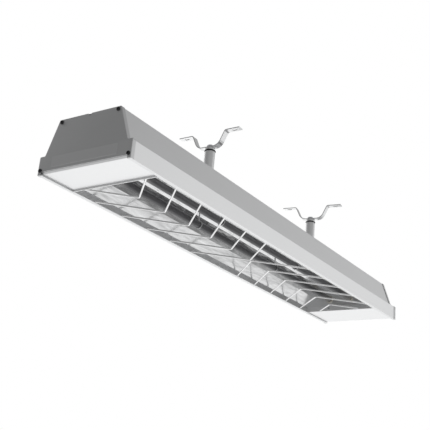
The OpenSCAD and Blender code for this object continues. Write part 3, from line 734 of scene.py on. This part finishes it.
def end_cap(c, node, way):
    """A pressed cap: the section (bend, rim with an eased end, inside of the rim) is carried along
    the outer edge, and the face and its back close the section's two long edges.

    Each step of the section is an inset from the outer edge and a depth behind the face. The face
    and its back run along the outer edge and return along the cut between the legs.
    """
    low, high = node_box(node)
    face, back = (high[0], low[0]) if way > 0 else (low[0], high[0])
    deep = abs(face - back)
    eased = 0.8 * c.rim
    t = np.linspace(0, TURN / 4, 6)
    inset = [*c.bend * (1 - np.sin(t)), 0, eased, c.rim, c.rim]
    depth = [*c.bend * (1 - np.cos(t)), deep - eased, deep, deep, c.sheet]
    half = cap_path(c, high)
    edge = mirrored(half[1:])
    edge = np.insert(edge, len(edge) // 2, half[0], axis=0)
    rows = []
    for inwards, behind in zip(inset, depth):
        y, z = offset(edge, -inwards).T
        rows.append(np.stack([np.full(len(edge), face - way * behind), y, z + BASE], -1))
    points = np.array(rows)
    points[:, [0, -1], 2] = BASE
    steps, count = points.shape[:2]
    y = high[1] - c.lip
    cut = [(y, 0), (y, c.cut), (-y, c.cut), (-y, 0)]
    bottom = [(x, y, z + BASE) for x in (face, face - way * c.sheet) for y, z in cut]
    faces = skin(points, wrap_columns=False, close=False)[1]
    first, last = steps * count, steps * count + 4
    faces.append([*range(count), *range(first, first + 4)])
    faces.append([*range(first - count, first), *range(last, last + 4)])
    faces += [[first + i, first + i + 1, last + i + 1, last + i] for i in range(3)]
    faces.append([*range(count - 1, first, count), last, first])
    faces.append([*range(0, first, count), last + 3, first + 3])
    return np.concatenate([points.reshape(-1, 3), bottom]), faces


class HEATER_OT_caps(HeaterOperator, bpy.types.Operator):
    """Make the two pressed end caps and the bare rating plate"""

    bl_idname = "heater.caps"
    bl_label = "End caps"

    def build(self, heater):
        c = heater.caps
        for name, way in (("near_end_cap", -1), ("far_end_cap", 1)):
            cap = end_cap(c, name, way)
            piece(name.replace("end", "pressed"), [cap], "cap_satin", name)
        low, high = node_box("label_plate")
        corners = [(low[1], low[2]), (high[1], low[2]), (high[1], high[2]), (low[1], high[2])]
        outline = rounded(corners, c.plate_corner, closed=True)
        inwards = np.sign(outline.mean(0) - outline)
        bevel = 0.3 * (high[0] - low[0])
        rows = []
        for x, inset in ((high[0], 0), (low[0] + bevel, 0), (low[0], bevel)):
            rows.append(np.column_stack([np.full(len(outline), x), outline + inset * inwards]))
        piece("rating_plate", [skin(np.array(rows))], "label", "label_plate")


def socket_screw(box, way, shank):
    """A button-head screw along X: shank, domed head and a hexagon socket in its top.

    The head's sizes are shares of its radius, and its steps are shares of its height.
    """
    low, high = box
    head = (high[1] - low[1]) / 2
    tall = 0.66 * head
    place = (low + high) / 2
    place[0] = (high[0] if way > 0 else low[0]) - way * tall
    reach = high[0] - low[0] - tall
    t = np.radians(np.arange(0, 61, 10))
    dome = head * np.cos(t)
    rise = tall * (0.3 + 0.7 * np.sin(t) / np.sin(t[-1]))
    key = hexagon(0.7425 * head)
    brim = np.minimum(0.97 * dome[-1], 1.12 * key)
    radii = [shank, shank, 0.96 * head, head, *dome, brim, key, key]
    heights = [-reach, 0, 0, 0.08 * tall, *rise, tall, 0.97 * tall, 0.35 * tall]
    return turned(radii, heights, place, (way, 0, 0))


def dome_rivet(box, shank):
    """A rivet along Z with a domed head at each end."""
    low, high = box
    head, half = (high[0] - low[0]) / 2, (high[2] - low[2]) / 2
    tall = 0.34 * head
    t = np.radians(np.arange(0, 81, 10))
    dome = head * np.cos(t)
    rise = half - tall * (1 - np.sin(t))
    radii = [*dome[::-1], shank, shank, *dome]
    heights = [*-rise[::-1], tall - half, half - tall, *rise]
    return turned(radii, heights, (low + high) / 2, sides=32)


def cheese_screw(low, high):
    """A screw head along Z with an eased foot and a shallow crown."""
    r, tall = (high[0] - low[0]) / 2, high[2] - low[2]
    place = (low[0] + r, (low[1] + high[1]) / 2, low[2])
    heights = [0, 0.1 * r, 0.8 * tall, tall, tall]
    return turned(r * np.array([0.9, 1, 1, 0.85, 0.4]), heights, place, sides=24)


def hex_end(flats, rise, start=0.96, slope=1.9):
    """Radii of a bevelled hexagon end at each rise above it: the hexagon's or, if less, those of a
    cone that starts at a share of the flats."""
    return [np.minimum(hexagon(flats), start * flats / 2 + slope * d) for d in rise]


def nut(low, high, flats, bore, chamfer, axis=(0, 0, 1)):
    """A hexagon nut with bevelled ends and an eased bore."""
    way = int(np.argmax(np.abs(axis)))
    half = (high[way] - low[way]) / 2
    rise = np.linspace(0, chamfer, 5)
    cone = hex_end(flats, rise)
    ease = 0.4 * chamfer
    radii = [bore, bore + ease, *cone, *cone[::-1], bore + ease, bore]
    heights = [ease - half, -half, *(rise - half), *(half - rise[::-1]), half, half - ease]
    return turned(radii, heights, (low + high) / 2, axis, wrap_rows=True)


def earth_stud(f):
    """A headed stud along X, and the nut on its end."""
    low, high = node_box("earth_screw")
    x, y, z = low[0], (low[1] + high[1]) / 2, (low[2] + high[2]) / 2
    tall, head, thread = high[0] - low[0], f.earth_head, f.earth_thread
    radii = [0.5 * head, 0.9 * head, head, head, thread, thread, 0.8 * thread]
    heights = [0, 0, 0.17 * head, f.earth_tall, f.earth_tall, tall - f.earth_edge, tall]
    stud = turned(radii, heights, (x, y, z), (1, 0, 0), sides=32)
    low[0] = high[0] - 2 * f.earth_tall
    high[0] = low[0] + f.earth_tall
    return [stud, nut(low, high, f.earth_flats, thread, f.earth_edge, (1, 0, 0))]


def threaded_bolt(low, high, radius, pitch, depth, plain_low, plain_high):
    """A stud along Z. Where it is threaded its radius is r - d w, where w runs evenly from 0 to 1
    and back over each turn of z / pitch - a / turn."""
    sides = 24
    place = (low + high) / 2
    place[2] = low[2]
    tall = high[2] - low[2]
    z = np.arange(0, tall, pitch / 6)
    z = np.append(z[(z < plain_low) | (z > plain_high)], [plain_low, plain_high, tall])
    z = np.sort(np.unique(z))
    turn = z[:, None] / pitch - angles(sides)[None] / TURN
    wave = np.abs(turn % 1 - 0.5) * 2
    cut = ((z < plain_low) | (z > plain_high))[:, None]
    taper = np.minimum(np.minimum(z, tall - z) / pitch, 1)[:, None]
    radii = radius - depth * np.where(cut, np.maximum(wave, 1 - taper), 0.0)
    return turned(list(radii), z, place, sides=sides)


def ring(low, high, bore, chamfer, steps=3):
    """A ring along Z with rounded outer edges and a bore."""
    half = (high[2] - low[2]) / 2
    t = np.linspace(0, TURN / 4, steps + 1)
    corner_r = (high[0] - low[0]) / 2 - chamfer * (1 - np.sin(t))
    corner_h = half - chamfer * (1 - np.cos(t))
    radii = [bore, *corner_r, *corner_r[::-1], bore]
    heights = [half, *corner_h, *-corner_h[::-1], -half]
    return turned(radii, heights, (low + high) / 2, wrap_rows=True)


class HEATER_OT_screws(HeaterOperator, bpy.types.Operator):
    """Make the screws, nuts and rivets of the housing"""

    bl_idname = "heater.screws"
    bl_label = "Screws and rivets"

    def build(self, heater):
        f = heater.fasteners
        boxes = solids_of("cap_screws")
        screws = [socket_screw(b, -1 if b[0][0] < 0 else 1, f.shank) for b in boxes]
        piece("cap_button_screws", screws, "black_steel", "cap_screws")
        boxes = solids_of("guard_screws")
        screws = [socket_screw(b, 1 if b[0][0] < 0 else -1, f.small_shank) for b in boxes]
        piece("guard_button_screws", screws, "zinc_steel", "guard_screws")
        rivets = [dome_rivet(b, f.rivet) for b in solids_of("reflector_rivets")]
        piece("domed_rivets", rivets, "zinc_steel", "reflector_rivets")
        nuts = [
            nut(low, high, high[2] - low[2], f.stud_bore, f.chamfer, (1, 0, 0))
            for low, high in solids_of("stud_nuts")
        ]
        piece("stud_hex_nuts", nuts, "zinc_steel", "stud_nuts")


def welded_wire(corners, z, g):
    """A bent wire whose radius is r (1 + swell exp(-(d / bead)^2)) at a distance d along it from
    its nearer end, with rounded tips. Its rings crowd where the radius changes."""
    blunt = 0.12
    line = rounded(corners, g.bend, steps=8)
    run = np.concatenate([[0], np.cumsum(np.linalg.norm(np.diff(line, axis=0), axis=1))])
    near = g.bead * np.array([0, 0.18, 0.45, *np.linspace(0.9, 3, 6)])
    along = np.concatenate([near, run[1:-1], run[-1] - near[::-1]])
    d = np.minimum(along, run[-1] - along)
    grow = 1 + g.swell * np.exp(-((d / g.bead) ** 2))
    dome = np.sqrt(np.clip(1 - (1 - np.minimum(d / g.wire, 1)) ** 2, blunt, 1))
    x, y = (np.interp(along, run, line[:, i]) for i in (0, 1))
    return tube(np.stack([x, y, np.full(len(x), z)], -1), g.wire * grow * dome)


class HEATER_OT_guard(HeaterOperator, bpy.types.Operator):
    """Make the V wires of the guard, welded to its rails and bars"""

    bl_idname = "heater.guard"
    bl_label = "Guard wires"

    def build(self, heater):
        g = heater.guard
        corner = g.wire * math.sqrt(2)
        bars = {-1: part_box("near_guard_bar")[1].x, 1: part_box("far_guard_bar")[0].x}
        for end, way in (("near", -1), ("far", 1)):
            wires = []
            for low, high in solids_of(f"{end}_guard_wires"):
                tip = low[0] + corner if way > 0 else high[0] - corner
                run = min(rail_face(), abs(bars[way] - tip))
                x, z = tip + way * run, (low[2] + high[2]) / 2
                wires.append(welded_wire([(x, -run), (tip, 0), (x, run)], z, g))
            piece(f"{end}_guard_rods", wires, "bright_wire", f"{end}_guard_wires")


def rail_face():
    """Distance of the rails' inner faces from the middle plane."""
    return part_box("left_guard_rail")[0].y


def ripple(x, y):
    """Slow waves of a rolled sheet: sin 31x cos 37y + sin(57x + 23y) / 2."""
    return np.sin(31 * x) * np.cos(37 * y) + np.sin(57 * x + 23 * y) / 2


def folded_sheet(r):
    """The reflector: its section, rounded at each fold and given its thickness, is carried along X.
    The ripple lifts it, and fades out towards its long edges."""
    low, high = node_box("reflector")
    rim = low[2] - BASE
    half = [(0, r.roof_height), (r.roof, r.roof_height), (r.fold, r.fold_height),
            (rail_face(), rim), (high[1], rim)]
    inside = mirrored(rounded(half, r.bend)[1:])
    outline = np.concatenate([inside, offset(inside, r.sheet)[::-1]])
    x, y = np.meshgrid(np.linspace(low[0], high[0], 97), outline[:, 0], indexing="ij")
    fade = np.clip((high[1] - np.abs(y)) / r.fade, 0, 1)
    z = outline[:, 1] + BASE + r.ripple * ripple(x, y) * fade
    return skin(np.stack([x, y, z], -1))


# An element's end: distances from its tip, each with a share of its radius
ELEMENT_END = [(0, 0.62), (0.0006, 0.92), (0.003, 1), (0.0034, 0.955), (0.0044, 0.955), (0.0048, 1)]


def sheath(low, high):
    """An element along X, with a rounded tip and a rolled groove at each end."""
    half, radius = (high[0] - low[0]) / 2, (high[1] - low[1]) / 2
    step, share = np.array(ELEMENT_END).T
    middle = np.linspace(-0.9, 0.9, 40) * half
    heights = [*(step - half), *middle, *(half - step[::-1])]
    radii = [*(radius * share), *[radius] * len(middle), *(radius * share[::-1])]
    return turned(radii, heights, (low + high) / 2, (1, 0, 0))


def bush(low, high, r):
    """A bush along X round an element's end, with a flange on its outer side."""
    place = (low + high) / 2
    element_low, element_high = node_box("left_element")
    bore = (element_high[1] - element_low[1]) / 2 + r.play
    flange, half = (high[1] - low[1]) / 2, (high[0] - low[0]) / 2
    neck, edge, seat, back = flange - r.flange, r.edge, r.play, r.play + r.flange
    radii = [bore, bore + edge, neck - edge, neck, neck, flange - edge, flange, flange,
             flange - edge, neck, neck, neck - edge, bore + edge, bore]
    heights = [edge - half, -half, -half, edge - half, seat, seat, seat + edge, back - edge,
               back, back, half - edge, half, half, half - edge]
    return turned(radii, heights, place, (math.copysign(1, place[0]), 0, 0), wrap_rows=True)


class HEATER_OT_reflector(HeaterOperator, bpy.types.Operator):
    """Make the folded mirror reflector and the two elements with their bushes"""

    bl_idname = "heater.reflector"
    bl_label = "Reflector and elements"

    def build(self, heater):
        r = heater.reflector
        piece("folded_reflector", [folded_sheet(r)], "mirror_sheet", "reflector", crease=20)
        for side in ("left", "right"):
            rod = sheath(*node_box(f"{side}_element"))
            piece(f"{side}_sheath", [rod], "element_sheath", f"{side}_element")
        bushes = [bush(low, high, r) for low, high in solids_of("element_bushes")]
        piece("glazed_bushes", bushes, "ceramic", "element_bushes")


class HEATER_OT_leads(HeaterOperator, bpy.types.Operator):
    """Make the inner leads and the terminal screws"""

    bl_idname = "heater.leads"
    bl_label = "Leads and terminals"

    def build(self, heater):
        c = heater.leads
        low, high = node_box("terminal_block")
        start, end, pole_z = low[0], high[0], (low[2] + high[2]) / 2
        screws = solids_of("terminal_screws")
        poles = sorted((low[1] + high[1]) / 2 for low, high in screws)
        lugs = solids_of("lead_lugs")
        earth = min(lugs, key=lambda b: abs(b[0][1] + b[1][1]) if b[0][2] > pole_z else 1)
        near = [b for b in lugs if b[1][0] < 0]
        far = [b for b in lugs if b[0][0] > 0 and b is not earth]
        up = np.array([(0, 0, c.play), (0, 0, c.bend / 2), (0, 0, c.bend)])
        for low, high in reversed(far):
            y, z = (low[1] + high[1]) / 2, high[2]
            name, pole = ("live", poles[-1]) if y > 0 else ("neutral", poles[0])
            route = [
                *((high[0] - c.barrel, y, z) + up),
                (end + 2 * c.bend, (y + pole) / 2, (z + c.bend + pole_z) / 2),
                (end + c.bend, pole, pole_z), (end, pole, pole_z), (end - c.grip, pole, pole_z),
            ]
            self.lead(c, name, route)
        low, high = near[0]
        x, y, z = low[0] + c.barrel, abs(low[1] + high[1]) / 2, high[2]
        step = 2 * c.radius
        half = [*((x, y, z) + up), (x - step, y - c.bend, z + 2 * c.bend)]
        middle = (x - step, 0, z + 2 * c.bend + step)
        self.lead(c, "link", [*half, middle, *(np.array(half[::-1]) * (1, -1, 1))])
        low, high = earth
        x, y, z = high[0] - c.barrel, low[1] - c.play, (low[2] + high[2]) / 2
        route = [
            (end - c.grip, 0, pole_z), (end, 0, pole_z), (end + c.bend, 0, pole_z),
            (end + c.bend, y - c.bend, (pole_z + z) / 2), (start + c.bend, y - 2 * c.bend, z),
            (x + c.radius, y - c.bend, z), (x, y - c.bend / 2, z), (x, y, z),
        ]
        self.lead(c, "earth", route, "earth_sleeve")
        heads = [cheese_screw(low, high) for low, high in screws]
        piece("terminal_cheese_screws", heads, "brass", "terminal_screws")
        piece("earth_stud", earth_stud(heater.fasteners), "brass", "earth_screw")

    def lead(self, c, name, route, slot="lead_sleeve"):
        surfaces = [tube(smooth_route(route), c.radius)]
        piece(f"{name}_sleeved_lead", surfaces, slot, f"{name}_lead")


class HEATER_OT_gland(HeaterOperator, bpy.types.Operator):
    """Make the cable gland in the far end cap"""

    bl_idname = "heater.gland"
    bl_label = "Cable gland"

    def build(self, heater):
        g = heater.gland
        low, high = node_box("gland_body")
        nut_low, nut_high = node_box("gland_nut")
        seal_low, seal_high = node_box("gland_seal")
        cap_low, cap_high = node_box("gland_cap")
        axis = (1, 0, 0)
        place = (0, *(cap_low + cap_high)[1:] / 2)
        flats = min((nut_high - nut_low)[1:])
        rise = np.linspace(0, g.chamfer, 4)
        cone = hex_end(flats, rise, 0.97, 1.8)
        seal = (seal_high[1] - seal_low[1]) / 2
        bore, seat, bolt = seal + g.play, cap_low[0] - g.play, g.thread + g.play
        flange = seat - g.flange
        radii = [bore, g.thread - g.end, g.thread, g.thread, *cone, *cone[::-1],
                 g.thread, g.thread, g.thread - g.end, bore]
        heights = [low[0], low[0], low[0] + g.end, flange, *(flange + rise), *(seat - rise[::-1]),
                   seat, high[0] - g.end, high[0], high[0]]
        body = turned(radii, heights, place, axis, wrap_rows=True)
        piece("gland_hex_body", [body], "black_plastic", "gland_body")
        lock_nut = nut(nut_low, nut_high, flats, bolt, g.chamfer, axis)
        piece("gland_lock_nut", [lock_nut], "black_plastic", "gland_nut")
        x0, x1 = seal_low[0], seal_high[0]
        radii = [g.cable, seal - g.edge, seal, seal, seal - g.edge, g.cable]
        heights = [x0, x0, x0 + g.edge, x1 - g.edge, x1, x1]
        plug = turned(radii, heights, place, axis, wrap_rows=True)
        piece("gland_rubber_seal", [plug], "gasket", "gland_seal")
        x0, x1 = cap_low[0], cap_high[0]
        neck, inner = x0 + g.neck, high[0] + g.play
        ribs = g.outer - g.rib * (0.5 + 0.5 * np.cos(12 * angles(48)))
        t = np.linspace(0, TURN / 4, 6)[1:]
        radii = [bolt, *cone, *cone[::-1], ribs, ribs,
                 *(g.outer - g.rib - g.dome * (1 - np.cos(t))),
                 g.mouth + g.rib, g.mouth, g.mouth, bolt]
        heights = [x0, *(x0 + rise), *(neck - rise[::-1]), neck + g.rib / 2, x1 - g.dome,
                   *(x1 - g.dome * (1 - np.sin(t))), x1, x1 - g.rib, inner, inner]
        cap = turned(radii, heights, place, axis, wrap_rows=True)
        piece("gland_dome_cap", [cap], "black_plastic", "gland_cap")


class HEATER_OT_hangers(HeaterOperator, bpy.types.Operator):
    """Make the posts, bolts, washers, collars and lock nuts of the two hangers"""

    bl_idname = "heater.hangers"
    bl_label = "Hangers"

    def build(self, heater):
        f = heater.fasteners
        bore = f.bolt + f.clearance
        for end in ("near", "far"):
            for node, name, edge, steps, slot, finish in (
                ("post", "post_tube", f.chamfer, 3, "post_satin", "post_satin"),
                ("rubber_washer", "rubber_ring", f.rubber_edge, 6, "black_rubber", "black_rubber"),
                ("collar", "turned_collar", f.chamfer, 3, "stainless", "housing_satin"),
            ):
                surfaces = [ring(*node_box(f"{end}_{node}"), bore, edge, steps)]
                piece(f"{end}_{name}", surfaces, slot, f"{end}_{node}", finish=finish)
            low, high = node_box(f"{end}_lock_nut")
            lock_nut = nut(low, high, min((high - low)[:2]), bore, f.nut_chamfer)
            piece(f"{end}_hex_nut", [lock_nut], "zinc_steel", f"{end}_lock_nut")
            low, high = node_box(f"{end}_bolt")
            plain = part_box(f"{end}_slot_nut")[1].z - low[2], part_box(f"{end}_collar")[0].z - low[2]
            bolt = threaded_bolt(low, high, f.bolt, f.pitch, f.depth, *plain)
            piece(f"{end}_threaded_bolt", [bolt], "zinc_steel", f"{end}_bolt")


# Studio

# Each lobe's direction, sharpness and strength. The last two darken, as black screens would
LOBES = [
    ((0.80, 0.35, -0.50), 1.6, 0.92),
    ((0.75, -0.65, 0.15), 8.0, 0.70),
    ((-0.20, 0.40, -0.90), 3.0, 0.15),
    ((0.20, 0.92, 0.33), 16.0, 0.95),
    ((-0.65, -0.70, 0.30), 4.0, 0.22),
    ((0.73, -0.455, -0.505), 14.0, -0.65),
    ((0.98, 0.0, 0.20), 10.0, -0.22),
]
AMBIENT = 0.12


class HEATER_OT_stage(HeaterOperator, bpy.types.Operator):
    """Make the camera, the pale floor and the soft studio light"""

    bl_idname = "heater.stage"
    bl_label = "Stage"

    def build(self, heater):
        s = heater.stage
        self.make_camera(s)
        self.make_floor(s)
        self.make_light()
        bpy.context.scene.view_settings.view_transform = "Standard"

    def make_camera(self, s):
        """The view looks along minus back, which azimuth and elevation give, and rolls about it."""
        a, e, r = s.azimuth, s.elevation, s.roll
        back = np.array([math.sin(a) * math.cos(e), -math.cos(a) * math.cos(e), math.sin(e)])
        right = np.array([math.cos(a), math.sin(a), 0.0])
        down = np.cross(right, back)
        turned_right = math.cos(r) * right - math.sin(r) * down
        turned_down = math.sin(r) * right + math.cos(r) * down
        data = bpy.data.cameras.new("camera")
        data.sensor_width = 36.0
        data.lens = s.focal
        camera = bpy.data.objects.new("camera", data)
        bpy.context.scene.collection.objects.link(camera)
        turn = Matrix((turned_right, -turned_down, back)).transposed()
        camera.matrix_world = Matrix.Translation(s.camera) @ turn.to_4x4()
        bpy.context.scene.camera = camera

    def make_floor(self, s):
        """A wide flat square that takes no part in the light on the heater."""
        f = Finish("floor", roughness=0.9)
        grain = f.noise(f.place, 3.0, 3.0)
        f.wear("Base Color", f.tinted(s.floor_colour, 1 + grain * 0.02))
        t = np.array([-0.5, 0.5]) * s.floor_size
        x, y = np.meshgrid(t, t, indexing="ij")
        points = np.stack([x, y, np.full(x.shape, -s.floor_depth)], -1)
        flat, faces = skin(points, wrap_columns=False, close=False)
        mesh = bpy.data.meshes.new("floor")
        mesh.from_pydata(flat.tolist(), [], faces)
        mesh.materials.append(f.material)
        floor = bpy.data.objects.new("floor", mesh)
        floor.visible_glossy = False
        floor.visible_diffuse = False
        floor.visible_shadow = False
        bpy.context.scene.collection.objects.link(floor)

    def make_light(self):
        """Soft light from all round: a base and broad lobes of strength s exp(k (d.a - 1)) about
        directions a, where a strength below 0 takes light away. What the camera sees behind the
        object is plain white."""
        world = bpy.data.worlds.new("studio")
        world.use_nodes = True
        bpy.context.scene.world = world
        n = Nodes(world.node_tree)
        way = n.node("ShaderNodeTexCoord", output="Generated")
        light = AMBIENT
        for direction, sharpness, strength in LOBES:
            axis = np.array(direction) / np.linalg.norm(direction)
            light = ((n.dot(way, tuple(axis)) - 1) * sharpness).exponential() * strength + light
        lit = n.node("ShaderNodeBackground", None, {"Color": (1, 1, 1, 1), "Strength": light})
        white = n.node("ShaderNodeBackground", None, {"Color": (1, 1, 1, 1), "Strength": 1.0})
        seen = n.node("ShaderNodeLightPath", output="Is Camera Ray")
        both = n.node("ShaderNodeMixShader", None, {0: seen, 1: lit, 2: white})
        n.node("ShaderNodeOutputWorld", None, {"Surface": both})


# Add-on

class HeaterSettings(bpy.types.PropertyGroup):
    """All the settings of the heater."""

    finishes: PointerProperty(type=HeaterFinishes)
    caps: PointerProperty(type=HeaterCaps)
    fasteners: PointerProperty(type=HeaterFasteners)
    guard: PointerProperty(type=HeaterGuard)
    reflector: PointerProperty(type=HeaterReflector)
    leads: PointerProperty(type=HeaterLeads)
    gland: PointerProperty(type=HeaterGland)
    stage: PointerProperty(type=HeaterStage)


GROUPS = (
    HeaterFinishes, HeaterCaps, HeaterFasteners, HeaterGuard, HeaterReflector, HeaterLeads,
    HeaterGland, HeaterStage, HeaterSettings,
)
OPERATORS = (
    HEATER_OT_finishes, HEATER_OT_caps, HEATER_OT_screws, HEATER_OT_guard, HEATER_OT_reflector,
    HEATER_OT_leads, HEATER_OT_gland, HEATER_OT_hangers, HEATER_OT_stage,
)


class HEATER_PT_panel(bpy.types.Panel):
    """Lists the heater's operators"""

    bl_label = "Strip heater"
    bl_space_type = "VIEW_3D"
    bl_region_type = "UI"
    bl_category = "Heater"

    def draw(self, context):
        for operator in OPERATORS:
            self.layout.operator(operator.bl_idname)


CLASSES = GROUPS + OPERATORS + (HEATER_PT_panel,)


def register():
    for cls in CLASSES:
        bpy.utils.register_class(cls)
    bpy.types.Scene.heater = PointerProperty(type=HeaterSettings)


def unregister():
    del bpy.types.Scene.heater
    for cls in reversed(CLASSES):
        bpy.utils.unregister_class(cls)


def main():
    register()
    for operator in OPERATORS:
        group, name = operator.bl_idname.split(".")
        getattr(getattr(bpy.ops, group), name)()


if __name__ == "__main__":
    main()
